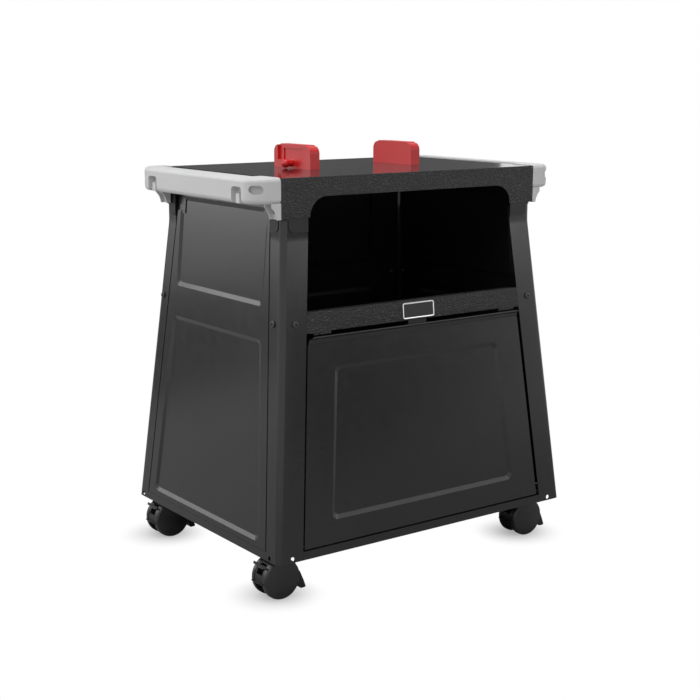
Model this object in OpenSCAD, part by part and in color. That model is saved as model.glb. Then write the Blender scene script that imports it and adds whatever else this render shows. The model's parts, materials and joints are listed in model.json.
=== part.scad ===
// Grill stand: a cabinet cart of folded sheet steel. Four flared legs carry a worktop,
// two locators hold a tabletop grill, a door drops down at the front, and the stand
// rolls on four braked casters. Millimetres; X right, Y back, Z up from the floor.

/* [Body] */
// Height from the leg feet to the worktop
body_h = 680; // [665:1:695]
// Width over the leg feet
foot_w = 692; // [682:1:702]
// Depth over the leg feet
foot_d = 529; // [520:1:540]
// Width over the upright tops of the legs
neck_w = 588; // [582:1:589]
// Depth over the upright tops of the legs
neck_d = 418; // [412:1:424]
// Height above the feet at which the legs turn upright
bend_h = 572; // [562:1:576]

/* [Sheet metal] */
// Thickness of the leg sheet
leg_t = 1.5; // [1.2:0.1:2]
// Thickness of the panel, door and ledge sheet
panel_t = 1.2; // [0.9:0.1:1.5]
// Thickness of the worktop and fascia sheet
top_t = 1.5; // [1.2:0.1:2]
// Thickness of the base pan sheet
pan_t = 1.5; // [1.2:0.1:2]
// Clearance between two sheets that lap
lap_gap = 0.3; // [0.2:0.05:0.4]
// Gap between a panel and the leg flange beside it
panel_gap = 3; // [2:0.5:4]

/* [Legs] */
// Width of the leg flange that faces the front or the back
front_flange_w = 54; // [50:1:57]
// Width of the side flange of a front leg
side_flange_w = 39; // [37:1:43]
// Width of the side flange of a rear leg
rear_flange_w = 36; // [33:1:39]
// Outer radius of the leg corner
leg_corner_r = 10.5; // [9:0.5:11]
// Diameter of the open holes at the foot
foot_hole_d = 8.5; // [6:0.5:9]
// Height of the foot holes above the leg's lower edge
foot_hole_h = 6.5; // [6:0.5:9]
// Distance of the foot hole from the corner, front and rear flanges
foot_hole_in = 32; // [28:1:36]
// Distance of the foot hole from the corner, side flange of a front leg
side_hole_in = 29; // [27:1:31]
// Distance of the foot hole from the corner, side flange of a rear leg
rear_hole_in = 19; // [17:1:22]

/* [Worktop] */
// Width of the worktop
top_w = 595; // [593:1:600]
// How far the fascia stands in front of the legs
fascia_out = 3; // [2.9:0.1:3.5]
// Depth of the lower strip behind the worktop
rear_strip_d = 23; // [20:1:26]
// How far the rear strip lies below the worktop
rear_strip_drop = 6; // [5:0.5:8]
// Height of the worktop's folded edge
top_edge_h = 14; // [12:1:18]
// Width of the front fascia's fold under the worktop
fascia_fold_w = 19; // [14:1:22]

/* [Fascia] */
// Height of the fascia at its ends
fascia_h = 71; // [68:1:74]
// Height of the fascia over the window
fascia_mid_h = 35; // [30:1:40]
// Width of the window
window_w = 474; // [460:1:478]
// Corner radius of the window
window_r = 36; // [30:1:36]

/* [Braces] */
// Width of each channel under the worktop
brace_w = 50; // [44:1:60]
// Height of each channel
brace_h = 12; // [10:1:16]

/* [Corner brackets] */
// Thickness of a bracket
bracket_t = 1.2; // [1:0.1:1.2]
// Height of the bracket's lower end above the feet
bracket_low_h = 584; // [578:1:590]
// Height of the bracket's upper end above the feet
bracket_top_h = 655; // [640:1:660]
// Radius of the tongue's lower corner
tongue_r = 12; // [8:1:14]
// Distance of the tongues from the leg corner
tongue_in = 12; // [11:1:14]

/* [Side rails] */
// Width of the finger slot
slot_w = 20; // [18:1:24]
// Width of the rail's bar
bar_w = 36; // [32:1:38]
// Height of the rail
rail_h = 45; // [42:1:48]
// Height of the rail over the worktop
rail_proud = 1; // [0:0.5:2]
// Radius of the bar's outer edges
rail_edge_r = 8; // [5:1:10]
// Length of the solid part at the slot's front end
slot_stop = 25; // [15:1:35]
// Distance of each tool hook from the middle
hook_y = 154; // [140:1:156]
// Width of a hook's pocket
hook_w = 33; // [28:1:36]
// Height of a hook's pocket
hook_h = 29; // [24:1:32]
// Depth of a hook's pocket
hook_depth = 13; // [10:1:16]
// Width of a hook's peg
peg_w = 12; // [9:1:14]
// Height of a hook's peg
peg_h = 17; // [12:1:20]
// Length of the oval hole at the front corner
oval_l = 26; // [20:1:28]
// Height of the oval hole
oval_h = 15; // [12:1:17]
// Depth of the oval hole
oval_depth = 11; // [8:1:14]
// Height of the ears under the rail
ear_h = 28; // [24:1:30]
// Length of the ears
ear_l = 26; // [22:1:30]
// Width of the ears at their upper end
ear_w = 19; // [16:1:22]
// Thickness of the ears' walls
ear_t = 3; // [2:0.5:4]

/* [Ledge] */
// Gap between the door and the ledge above it
ledge_gap = 2; // [1.5:0.5:4]
// Height of the ledge strip
ledge_h = 42; // [38:1:46]
// Depth of the ledge's upper fold
ledge_fold = 25; // [20:1:32]
// Width of the finger notch in the lower edge
notch_w = 404; // [380:1:420]
// Height of the finger notch
notch_h = 5; // [3:0.5:7]
// Width of the slot at each end of the lower edge
end_slot_w = 15; // [10:1:18]
// Height of the slot at each end
end_slot_h = 4; // [2:0.5:5]
// Height of the ledge screws over the ledge's lower edge
ledge_screw_up = 23; // [18:1:28]
// Distance of the ledge screws from the leg corner
ledge_screw_in = 29; // [25:1:34]
// Distance of a front leg's side screw from the leg corner
side_screw_in = 26; // [22:1:30]
// Distance of a rear leg's side screw from the leg corner
rear_screw_in = 16; // [14:1:18]
// Distance of the lips behind the legs from the leg corner
lip_end = 13; // [12:1:14]

/* [Badge] */
// Width of the badge plate
badge_w = 75; // [60:1:90]
// Height of the badge plate
badge_h = 30; // [24:1:34]
// Thickness of the badge plate
badge_t = 1.6; // [1:0.1:2.5]
// Corner radius of the badge plate
badge_r = 4; // [2:0.5:6]

/* [Panels] */
// Gap between the base pan's skirt and the panel above it
skirt_gap = 0.5; // [0.3:0.1:1.5]
// Height of a panel's upper edge above the feet
panel_top_h = 660; // [650:1:663]
// Depth of the pressed fields
press_depth = 3.5; // [2:0.5:5]
// Width of the bevel round a pressed field
press_bevel = 8; // [6:1:10]
// Corner radius of a pressed field
press_r = 12; // [9:1:16]
// Height at which the lower field ends
field_low_top_h = 390; // [380:1:400]
// Height at which the upper field starts
field_top_low_h = 449; // [440:1:460]
// Height at which the upper field ends
field_top_end_h = 624; // [610:1:626]
// Width of the flat border beside the lower field
field_border = 24; // [20:1:28]
// Width of the notches in a side panel's upper corners
notch_top_w = 18; // [14:1:22]
// Height at which these notches start
notch_low_h = 596; // [590:1:604]
// How far the back panel ends below the side panels
back_drop = 8; // [4:1:12]
// Width of the border in front of a side panel's upper field, at its upper end
upper_border = 4; // [3:1:8]
// Width of the border behind that field
upper_rear_border = 8; // [4:1:12]

/* [Door] */
// Gap beside the door
door_gap = 5; // [4:0.5:7]
// Depth of the door's face behind the legs
door_inset = 2.7; // [2:0.1:3.5]
// Height of the door's lower edge above the feet
door_low_h = 17.5; // [17:0.5:20]
// Height of the door's upper edge above the feet
door_top_h = 398; // [394:1:398.5]
// How far the pull along the door's upper edge stands in front of the legs
pull_out = 7; // [5:0.5:8]
// Radius of the pull's outward sweep
pull_r = 14; // [13:0.5:18]
// Thickness of the pull's rolled edge
pull_edge_d = 3; // [2:0.2:3.4]
// Radius of the pull's outer corners
pull_corner_r = 9; // [4:1:12]
// Depth of the door's side folds
door_fold = 14; // [10:1:18]
// Height of the hinge axis above the feet
hinge_h = 23; // [23:0.5:25]
// Depth of the hinge axis behind the legs
hinge_in = 6.2; // [6:0.1:7]
// Diameter of the hinge pins
hinge_pin_d = 4; // [3:0.5:4.2]
// Length of each hinge barrel
barrel_l = 14; // [10:1:20]
// Distance of the door's pressed field from the door's upper edge
door_field_drop = 58; // [54:1:66]
// Width of the door's pressed field along its upper edge
door_field_w = 392; // [370:1:400]
// Height at which the door's pressed field starts
door_field_low_h = 60; // [50:1:80]
// Width of the flat border beside the field's lower end
door_border = 60; // [50:1:70]
// Gap between the pressed field and the stiffener on the door's back
stiffener_gap = 8; // [6:1:9]
// Height of the stiffener
stiffener_h = 24; // [18:1:26]
// Length of the stiffener
stiffener_l = 440; // [400:1:450]
// Depth of the stiffener
stiffener_d = 10; // [8:1:12]

// Width of the magnetic catch
catch_w = 44; // [36:1:60]
// Height of the magnetic catch
catch_h = 30; // [27:1:31]
// Depth of the magnetic catch
catch_d = 16; // [12:1:20]

/* [Base pan] */
// Depth of the pan's floor above the feet
pan_drop = 13.5; // [12:0.5:14]

/* [Locators] */
// Distance between the two locators' inner faces
locator_span = 221; // [200:1:240]
// Thickness of a locator
locator_t = 21.5; // [20:0.5:26]
// Length of a locator
locator_l = 125; // [110:1:140]
// Height of a locator
locator_h = 45; // [40:1:55]
// Distance of the locators' middle behind the stand's middle
locator_y = 4; // [0:1:12]
// Radius of a locator's upper corners
locator_r = 14; // [8:1:16]
// Height of the solid part below a locator's recess
locator_foot_h = 13; // [12:1:14]
// Diameter of a lock pin
lock_pin_d = 7; // [5:0.5:8]
// Height of a lock pin's axis over the worktop
lock_h = 9; // [9:0.5:10]
// Wall that closes a lock pin's bore at the locator's inner face
lock_wall = 5; // [4:0.5:7]
// Diameter of the ball knob
knob_d = 16; // [14:1:17]
// Length of the collar between the ball knob and the locator
collar_l = 8; // [5:1:10]

/* [Casters] */
// Height of a caster with its mounting plate
caster_h = 89.5; // [88.5:0.5:92]
// Diameter of a wheel
wheel_d = 76; // [74:1:78]
// Width over the two wheels
caster_w = 56; // [53:1:58]
// Thickness of the housing between the wheels
housing_w = 25; // [23:1:26]
// Clearance beside a wheel
wheel_gap = 1; // [0.8:0.1:1.4]
// Distance of the axle behind the swivel axis
trail = 18; // [16:1:20]
// Distance of the front casters' swivel axes from the feet's sides
caster_in_x = 45; // [43:1:49]
// Distance of the front casters' swivel axes from the feet's front
caster_in_y = 49.5; // [48:0.5:53]
// Distance of the rear casters' swivel axes from the feet's sides
rear_in_x = 50; // [46:1:54]
// Distance of the rear casters' swivel axes from the feet's back
rear_in_y = 61; // [56:1:66]
// Radius of the ball race's cover
race_r = 17; // [15:0.5:18]
// Height of the ball race
race_h = 4; // [3:0.5:4.5]
// Width of the brake pedal
pedal_w = 40; // [34:1:46]
// Length of the brake pedal's fin
pedal_l = 6.5; // [5:0.5:8]
// Thickness of the brake pedal's fin
pedal_t = 2.7; // [2:0.1:3.2]
// Width of the pedal's arm
pedal_arm_w = 18; // [14:1:19]
// Distance of the pedal's pin from the axle
pedal_pivot_r = 28; // [26:0.5:29]
// Diameter of the pedal's pin
pedal_pin_d = 4; // [3:0.5:4]
// Diameter of the axle
axle_d = 6; // [5:0.5:8]
// Diameter of the swivel stem
stem_d = 11; // [9:0.5:12]
// Side of the square mounting plate
plate_w = 58; // [54:1:60]
// Thickness of the mounting plate
plate_t = 2.5; // [2:0.5:3]
// Distance between the mounting plate's holes
plate_pitch = 44; // [42:1:46]

/* [Fasteners] */
// Diameter of the ledge screws
screw_d = 6; // [5:0.5:6.5]
// Diameter of the ledge screws' heads
screw_head_d = 12.4; // [11:0.2:13]
// Height of the ledge screws' heads
screw_head_h = 3.6; // [3:0.1:4]
// Diameter of the small screws
small_screw_d = 5; // [4:0.5:5]
// Diameter of the small screws' heads
small_head_d = 9.5; // [8.5:0.5:10]
// Height of the small screws' heads
small_head_h = 2.8; // [2:0.1:3.2]
// Clearance all round a screw in its hole
screw_play = 0.15; // [0.1:0.05:0.3]
// Clearance all round a turning or sliding fit
run_play = 0.05; // [0.03:0.01:0.08]

/* [Hidden] */
$fn = 48;
cut = 1;
cut_deep = 20;
foot_z = caster_h - pan_drop;
worktop_z = foot_z + body_h;
ledge_low_h = door_top_h + ledge_gap;
door_field_top_h = door_top_h - door_field_drop;
ledge_screw_h = ledge_low_h + ledge_screw_up;
caster_x = foot_w / 2 - caster_in_x;
caster_y = foot_d / 2 - caster_in_y;
rear_x = foot_w / 2 - rear_in_x;
rear_y = foot_d / 2 - rear_in_y;
side_lean = atan((foot_w - neck_w) / 2 / bend_h);
front_lean = atan((foot_d - neck_d) / 2 / bend_h);
fascia_y = neck_d / 2 + fascia_out;
rail_in = top_w / 2 + lap_gap;
slot_x = rail_in + slot_w;
rail_z = worktop_z + rail_proud - rail_h;
strip_front_y = fascia_y - rear_strip_d;
rail_screw_in = ear_l / 2 - fascia_out + 2;
rail_screw_z = rail_z - ear_h / 2;
lap_w = leg_t + lap_gap + panel_t;
locator_x = locator_span / 2 + locator_t / 2;
lock_z = worktop_z + lock_h;
pivot_v = hinge_h / cos(front_lean);
pan_top_h = pan_drop + pan_t;
panel_low_h = pan_top_h + skirt_gap;
steel = "#2b2c2e";
grey_plastic = "#d2d3d4";
red_plastic = "#d8302c";

// Half the width and the depth over the legs at a height above the feet
function half_w(h) = foot_w / 2 - (foot_w - neck_w) / 2 * min(h, bend_h) / bend_h;
function half_d(h) = foot_d / 2 - (foot_d - neck_d) / 2 * min(h, bend_h) / bend_h;
// The same for the flat panels, which don't bend with the legs
function wall_w(h) = foot_w / 2 - (foot_w - neck_w) / 2 * h / bend_h;
function wall_d(h) = foot_d / 2 - (foot_d - neck_d) / 2 * h / bend_h;
ledge_screw_x = wall_w(ledge_screw_h) - ledge_screw_in;
side_screw_front = wall_d(ledge_screw_h) - side_screw_in;
side_screw_rear = wall_d(ledge_screw_h) - rear_screw_in;
// Distance along a leaning wall at a height above the feet
function up_side(h) = h / cos(side_lean);
function up_front(h) = h / cos(front_lean);

// Rounded corners on a convex outline
function unit(v) = v / norm(v);
function corner_arc(a, b, c, r, n) =
    let (u = unit(a - b), w = unit(c - b), half = acos(u * w) / 2)
    let (m = b + unit(u + w) * r / sin(half), p = b + u * r / tan(half) - m)
    let (q = b + w * r / tan(half) - m, start = atan2(p.y, p.x))
    let (turn = (atan2(q.y, q.x) - start + 540) % 360 - 180)
    [for (i = [0 : n]) m + r * [cos(start + turn * i / n), sin(start + turn * i / n)]];
function rounded(pts, r, n = 5) =
    let (m = len(pts))
    [for (i = [0 : m - 1]) each corner_arc(pts[(i + m - 1) % m], pts[i], pts[(i + 1) % m], r, n)];
function inset(q, d) =
    [q[0] + [d, d], q[1] + [-d, d], q[2] + [-d, -d], q[3] + [d, -d]];
function ring(pts, w) = [for (p = pts) [p.x, p.y, w]];

// A closed skin over rings of equally many points, each ring anticlockwise seen from the last.
// With thin set, the ring is a bent strip whose points lie in pairs, counted from both ends.
module loft(rings, thin = false) {
    n = len(rings[0]);
    m = len(rings);
    sides = [for (k = [0 : m - 2]) for (i = [0 : n - 1]) each [
        [k * n + i, (k + 1) * n + i, (k + 1) * n + (i + 1) % n],
        [k * n + i, (k + 1) * n + (i + 1) % n, k * n + (i + 1) % n]]];
    far = (m - 1) * n;
    first = thin ? [for (i = [0 : n / 2 - 2]) [i, i + 1, n - 2 - i, n - 1 - i]]
        : [[for (i = [0 : n - 1]) i]];
    last = thin ? [for (i = [0 : n / 2 - 2]) [far + i + 1, far + i, far + n - 1 - i, far + n - 2 - i]]
        : [[for (i = [n - 1 : -1 : 0]) far + i]];
    polyhedron([for (r = rings) each r], concat(first, sides, last));
}

// The leaning walls: inside these, X runs along the wall, Y up it and Z outwards
module on_front_wall() {
    translate([0, -foot_d / 2, foot_z]) rotate([-front_lean, 0, 0]) rotate([90, 0, 0]) children();
}
module on_rear_wall() {
    mirror([0, 1, 0]) on_front_wall() children();
}
module on_left_wall() {
    translate([-foot_w / 2, 0, foot_z]) rotate([0, side_lean, 0]) rotate([90, 0, -90]) children();
}

// A flat sheet whose outer face lies at w
module plate(pts, t, w = 0) {
    translate([0, 0, w - t]) linear_extrude(t) polygon(pts);
}

// A flat sheet with pressed fields, each with a bevelled border
module pressed_sheet(outline, fields, t, w = 0) {
    translate([0, 0, w]) difference() {
        union() {
            plate(outline, t);
            for (q = fields) {
                low = rounded(inset(q, press_bevel - t / 2), press_r - press_bevel / 2);
                high = rounded(inset(q, -t / 2), press_r);
                loft([ring(low, -press_depth - t), ring(high, -t), ring(high, -t / 2)]);
            }
        }
        for (q = fields) {
            low = rounded(inset(q, press_bevel), press_r - press_bevel / 2);
            high = rounded(q, press_r);
            loft([ring(low, -press_depth), ring(high, 0), ring(high, cut)]);
        }
    }
}

// A lip that steps inwards at a sheet's edge and laps behind the leg flange.
// The edge runs from e0 at v0 to e1 at v1, and s is the side that the lip points to.
module edge_lip(e0, e1, v0, v1, s, flange, gap) {
    step = 2 * s;
    reach = (flange - lip_end + gap) * s;
    plate([[e0 - step, v0], [e0, v0], [e1, v1], [e1 - step, v1]], lap_w);
    plate([[e0 - step, v0], [e0 + reach, v0], [e1 + reach, v1], [e1 - step, v1]],
        panel_t, panel_t - lap_w);
}

// A 2D arch with rounded upper corners, standing on the X axis
module arch(w, h, r) {
    translate([-w / 2, 0]) square([w, h - r]);
    translate([-w / 2 + r, 0]) square([w - 2 * r, h]);
    for (s = [-1, 1]) translate([s * (w / 2 - r), h - r]) circle(r);
}

// A pan-head screw on the XY plane, its shank along -Z
module pan_screw(d, head_d, head_h, l) {
    difference() {
        union() {
            cylinder(d = head_d, h = head_h * 0.55);
            translate([0, 0, head_h * 0.55])
                cylinder(d1 = head_d, d2 = head_d * 0.66, h = head_h * 0.45);
        }
        translate([0, 0, head_h * 0.4]) cylinder(d = head_d * 0.4, h = head_h, $fn = 6);
    }
    translate([0, 0, -l]) cylinder(d = d, h = l + head_h * 0.2);
}
module screw_hole(d, l = 12) {
    translate([0, 0, -l / 2]) cylinder(d = d + 2 * screw_play, h = l);
}

// The front left leg; the other legs are mirror images
function leg_section(w, side_w, t, r, n = 6) = concat(
    [[w, t]],
    [for (i = [0 : n]) [r, r] + (r - t) * [cos(270 - 90 * i / n), sin(270 - 90 * i / n)]],
    [[t, side_w], [0, side_w]],
    [for (i = [0 : n]) [r, r] + r * [cos(180 + 90 * i / n), sin(180 + 90 * i / n)]],
    [[w, 0]]);
module leg(side_w, top_h, side_screw_y, side_hole) {
    color(steel) difference() {
        loft([for (h = [0, bend_h, top_h])
            [for (p = leg_section(front_flange_w, side_w, leg_t, leg_corner_r))
                [p.x - half_w(h), p.y - half_d(h), foot_z + h]]], thin = true);
        on_front_wall() {
            translate([-ledge_screw_x, up_front(ledge_screw_h), 0]) screw_hole(screw_d);
        }
        on_left_wall() {
            translate([side_screw_y, up_side(ledge_screw_h), 0]) screw_hole(screw_d);
        }
        translate([foot_hole_in - foot_w / 2, -foot_d / 2, foot_z + foot_hole_h])
            rotate([90, 0, 0]) cylinder(d = foot_hole_d, h = 8 * leg_t, center = true);
        translate([-foot_w / 2, side_hole - foot_d / 2, foot_z + foot_hole_h])
            rotate([0, 90, 0]) cylinder(d = foot_hole_d, h = 8 * leg_t, center = true);
        translate([-neck_w / 2, rail_screw_in - neck_d / 2, rail_screw_z])
            rotate([0, -90, 0]) screw_hole(small_screw_d);
    }
}
leg_top_front_h = body_h - 2 * top_t - 2 * lap_gap;
leg_top_rear_h = body_h - rear_strip_drop - top_t - lap_gap;
module front_left_leg() {
    leg(side_flange_w, leg_top_front_h, side_screw_front, side_hole_in);
}
module front_right_leg() {
    mirror([1, 0, 0]) front_left_leg();
}
module rear_left_leg() {
    mirror([0, 1, 0]) leg(rear_flange_w, leg_top_rear_h, side_screw_rear, rear_hole_in);
}
module rear_right_leg() {
    mirror([1, 0, 0]) rear_left_leg();
}

// A bracket that wraps the top of a leg, with a tongue down each face
module corner_bracket(side_w) {
    off = bracket_t + lap_gap / 2;
    wrap_low = worktop_z - fascia_h;
    low_z = foot_z + bracket_low_h;
    color("#1b1b1c") difference() {
        union() {
            translate([-neck_w / 2 - off, -neck_d / 2 - off, wrap_low - 4])
                linear_extrude(foot_z + bracket_top_h - wrap_low + 4)
                polygon(leg_section(front_flange_w + off, side_w + off, bracket_t,
                    leg_corner_r + off));
            translate([tongue_in - neck_w / 2, -neck_d / 2 - lap_gap / 2, wrap_low + cut])
                rotate([90, 180, 0]) mirror([1, 0, 0])
                linear_extrude(bracket_t) tongue(front_flange_w - tongue_in, wrap_low + cut - low_z);
            translate([-neck_w / 2 - lap_gap / 2, tongue_in - neck_d / 2, wrap_low + cut])
                rotate([90, 180, -90])
                linear_extrude(bracket_t) tongue(side_w - tongue_in, wrap_low + cut - low_z);
        }
        translate([-neck_w / 2, rail_screw_in - neck_d / 2, rail_screw_z])
            rotate([0, -90, 0]) screw_hole(small_screw_d);
    }
}
// A tongue from the origin along X and up Y, its far end rounded on the origin's side
module tongue(w, h) {
    translate([tongue_r, 0]) square([w - tongue_r, h]);
    square([w, h - tongue_r]);
    translate([tongue_r, h - tongue_r]) circle(tongue_r);
}
module front_left_bracket() {
    corner_bracket(side_flange_w);
}
module front_right_bracket() {
    mirror([1, 0, 0]) front_left_bracket();
}
module rear_left_bracket() {
    mirror([0, 1, 0]) corner_bracket(rear_flange_w);
}
module rear_right_bracket() {
    mirror([1, 0, 0]) rear_left_bracket();
}

// Worktop: a tray turned over, with folded edges at the sides and the back
module top_panel() {
    front_y = top_t + lap_gap - fascia_y;
    depth = strip_front_y - front_y;
    edge_z = worktop_z - top_edge_h;
    fold_front = fascia_fold_w + 2 * lap_gap;
    back_w = neck_w - 4 * leg_t;
    color("#3a3b3d") difference() {
        union() {
            translate([-top_w / 2, front_y, worktop_z - top_t]) cube([top_w, depth, top_t]);
            for (s = [0, 1]) mirror([s, 0, 0])
                translate([-top_w / 2, front_y + fold_front, edge_z])
                    cube([top_t, depth - fold_front, top_edge_h]);
            translate([-back_w / 2, strip_front_y - top_t, edge_z])
                cube([back_w, top_t, top_edge_h]);
        }
        locator_bolts() screw_hole(small_screw_d);
    }
}
// The places of the bolts that hold the locators
module locator_bolts() {
    for (sx = [-1, 1]) for (sy = [-1, 1])
        translate([sx * locator_x, locator_y + sy * locator_l * 0.32, worktop_z]) children();
}
// Hat channels that stiffen the worktop under the locators
module top_braces() {
    front_y = top_t + fascia_fold_w + 3 * lap_gap - fascia_y;
    depth = strip_front_y - top_t - lap_gap - front_y;
    color("#2f3032") difference() {
        for (s = [-1, 1])
            translate([s * locator_x - brace_w / 2, front_y, worktop_z - top_t - brace_h])
            difference() {
                cube([brace_w, depth, brace_h]);
                translate([-cut, -cut, top_t])
                    cube([10 + cut, depth + 2 * cut, brace_h - 2 * top_t]);
                translate([brace_w - 10, -cut, top_t])
                    cube([10 + cut, depth + 2 * cut, brace_h - 2 * top_t]);
                translate([12, -cut, top_t])
                    cube([brace_w - 24, depth + 2 * cut, brace_h - 2 * top_t]);
            }
        locator_bolts() screw_hole(small_screw_d, 3 * brace_h + 4 * top_t);
    }
}
module front_fascia() {
    color("#3b3c3e") {
        translate([0, top_t - fascia_y, worktop_z]) rotate([90, 0, 0]) linear_extrude(top_t)
            difference() {
                translate([-top_w / 2, -fascia_h]) square([top_w, fascia_h]);
                translate([0, -fascia_h - cut])
                    arch(window_w, fascia_h + cut - fascia_mid_h, window_r);
            }
        translate([-top_w / 2, top_t / 2 - fascia_y, worktop_z - 2 * top_t - lap_gap])
            cube([top_w, fascia_fold_w, top_t]);
    }
}
module rear_fascia() {
    strip_z = worktop_z - rear_strip_drop;
    color("#3b3c3e") {
        translate([-top_w / 2, fascia_y - top_t, worktop_z - fascia_h])
            cube([top_w, top_t, fascia_h - rear_strip_drop]);
        translate([-top_w / 2, strip_front_y + lap_gap, strip_z - top_t])
            cube([top_w, rear_strip_d - lap_gap, top_t]);
    }
}

// The right side rail; the left one is its mirror image
module rail_section() {
    square([bar_w - rail_edge_r, rail_h]);
    translate([0, rail_edge_r]) square([bar_w, rail_h - 2 * rail_edge_r]);
    for (y = [rail_edge_r, rail_h - rail_edge_r])
        translate([bar_w - rail_edge_r, y]) circle(rail_edge_r);
}
module rail_ear() {
    curve_r = 34;
    translate([0, 0, -ear_h]) {
        cube([ear_t, ear_l, ear_h + cut]);
        for (y = [ear_t, ear_l]) translate([0, y, 0]) rotate([90, 0, 0]) linear_extrude(ear_t)
            difference() {
                square([ear_w, ear_h + cut]);
                translate([curve_r + 8, -4]) circle(curve_r);
            }
    }
}
module side_rail() {
    bend_y = fascia_y - bar_w;
    outer_x = slot_x + bar_w;
    color(grey_plastic) difference() {
        union() {
            translate([slot_x, bend_y, rail_z]) rotate([90, 0, 0])
                linear_extrude(2 * bend_y) rail_section();
            for (s = [0, 1]) mirror([0, s, 0]) {
                translate([slot_x, bend_y, rail_z]) rotate_extrude(angle = 90) rail_section();
                translate([rail_in, bend_y, rail_z]) rotate([90, 0, 90])
                    linear_extrude(slot_w) rail_section();
                translate([rail_in, fascia_y - ear_l, rail_z]) rail_ear();
            }
            translate([rail_in, -bend_y, rail_z]) cube([slot_w, slot_stop, rail_h]);
        }
        for (s = [-1, 1]) translate([outer_x - hook_depth, s * hook_y, rail_z - cut])
            rotate([90, 0, 90]) linear_extrude(hook_depth + cut) arch(hook_w, hook_h + cut, 8);
        translate([slot_x, -bend_y, rail_z + rail_h * 0.56]) rotate([0, 0, -45])
            translate([bar_w - oval_depth, 0, 0]) rotate([90, 0, 90])
            linear_extrude(oval_depth + cut) oval(oval_l, oval_h);
        for (s = [-1, 1])
            translate([rail_in, s * (neck_d / 2 - rail_screw_in), rail_screw_z])
            rotate([0, 90, 0]) screw_hole(small_screw_d);
    }
    color(grey_plastic) for (s = [-1, 1])
        translate([outer_x - hook_depth - cut, s * hook_y, rail_z])
        rotate([90, 0, 90]) linear_extrude(hook_depth - 2) arch(peg_w, peg_h, 4);
}
module oval(l, h) {
    square([l - h, h], center = true);
    for (s = [-1, 1]) translate([s * (l - h) / 2, 0]) circle(d = h);
}
module right_side_rail() {
    side_rail();
}
module left_side_rail() {
    mirror([1, 0, 0]) side_rail();
}

// Half the width of the space between the front legs, and the sides' limits
function front_open(h) = wall_w(h) - front_flange_w;
function side_open_front(h) = wall_d(h) - side_flange_w;
function side_open_rear(h) = wall_d(h) - rear_flange_w;
function front_quad(h0, h1, gap) = [
    [gap - front_open(h0), up_front(h0)], [front_open(h0) - gap, up_front(h0)],
    [front_open(h1) - gap, up_front(h1)], [gap - front_open(h1), up_front(h1)]];
function side_quad(h0, h1, gap) = [
    [gap - side_open_rear(h0), up_side(h0)], [side_open_front(h0) - gap, up_side(h0)],
    [side_open_front(h1) - gap, up_side(h1)], [gap - side_open_rear(h1), up_side(h1)]];

module wall_lips(front0, front1, rear0, rear1, v0, v1, front_flange, rear_flange, gap) {
    edge_lip(front0, front1, v0, v1, 1, front_flange, gap);
    edge_lip(rear0, rear1, v0, v1, -1, rear_flange, gap);
}
module side_panel() {
    border = panel_gap + field_border;
    field_h = panel_low_h + 10;
    field_front = side_open_front(field_top_end_h) - panel_gap - upper_border;
    field_rear = side_open_rear(field_top_end_h) - panel_gap - upper_rear_border;
    upper = [[-field_rear, up_side(field_top_low_h)], [field_front, up_side(field_top_low_h)],
        [field_front, up_side(field_top_end_h)], [-field_rear, up_side(field_top_end_h)]];
    lip_h0 = panel_low_h + 4;
    lip_h1 = notch_low_h - 4;
    top_v = up_side(panel_top_h);
    notch_v = up_side(notch_low_h);
    color("#333436") on_left_wall() difference() {
        union() {
            difference() {
                pressed_sheet(side_quad(panel_low_h, panel_top_h, panel_gap),
                    [side_quad(field_h, field_low_top_h, border), upper], panel_t);
                for (u = [side_open_front(panel_top_h), -side_open_rear(panel_top_h)])
                    translate([u - notch_top_w, notch_v, -cut_deep])
                        cube([2 * notch_top_w, top_v - notch_v + cut, 2 * cut_deep]);
            }
            wall_lips(side_open_front(lip_h0) - panel_gap, side_open_front(lip_h1) - panel_gap,
                panel_gap - side_open_rear(lip_h0), panel_gap - side_open_rear(lip_h1),
                up_side(lip_h0), up_side(lip_h1), side_flange_w, rear_flange_w, panel_gap);
            notch_back(side_open_front(lip_h1), side_open_front(panel_top_h),
                up_side(lip_h1), top_v, 1, side_flange_w);
            notch_back(-side_open_rear(lip_h1), -side_open_rear(panel_top_h),
                up_side(lip_h1), top_v, -1, rear_flange_w);
        }
        for (u = [side_screw_front, -side_screw_rear])
            translate([u, up_side(ledge_screw_h), 0]) screw_hole(screw_d);
    }
}
// The lip goes on behind a notch, where it is wide enough to close it
module notch_back(e0, e1, v0, v1, s, flange) {
    out = s * (flange - lip_end);
    in = s * (notch_top_w + press_bevel / 2);
    plate([[e1 - in, v0 - cut], [e0 + out, v0 - cut], [e1 + out, v1], [e1 - in, v1]],
        panel_t, panel_t - lap_w);
}
module left_side_panel() {
    side_panel();
}
module right_side_panel() {
    mirror([1, 0, 0]) side_panel();
}
module back_panel() {
    border = panel_gap + field_border;
    edge = function (h) front_open(h) - panel_gap;
    lip_h0 = panel_low_h + 4;
    lip_h1 = panel_top_h - back_drop;
    color("#303133") on_rear_wall() difference() {
        union() {
            pressed_sheet(front_quad(panel_low_h, lip_h1, panel_gap),
                [front_quad(panel_low_h + 10, field_low_top_h, border),
                front_quad(field_top_low_h, field_top_end_h, border)], panel_t);
            wall_lips(edge(lip_h0), edge(lip_h1), -edge(lip_h0), -edge(lip_h1),
                up_front(lip_h0), up_front(lip_h1), front_flange_w, front_flange_w, panel_gap);
        }
        for (s = [-1, 1]) translate([s * ledge_screw_x, up_front(ledge_screw_h), 0])
            screw_hole(screw_d);
    }
}

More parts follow.
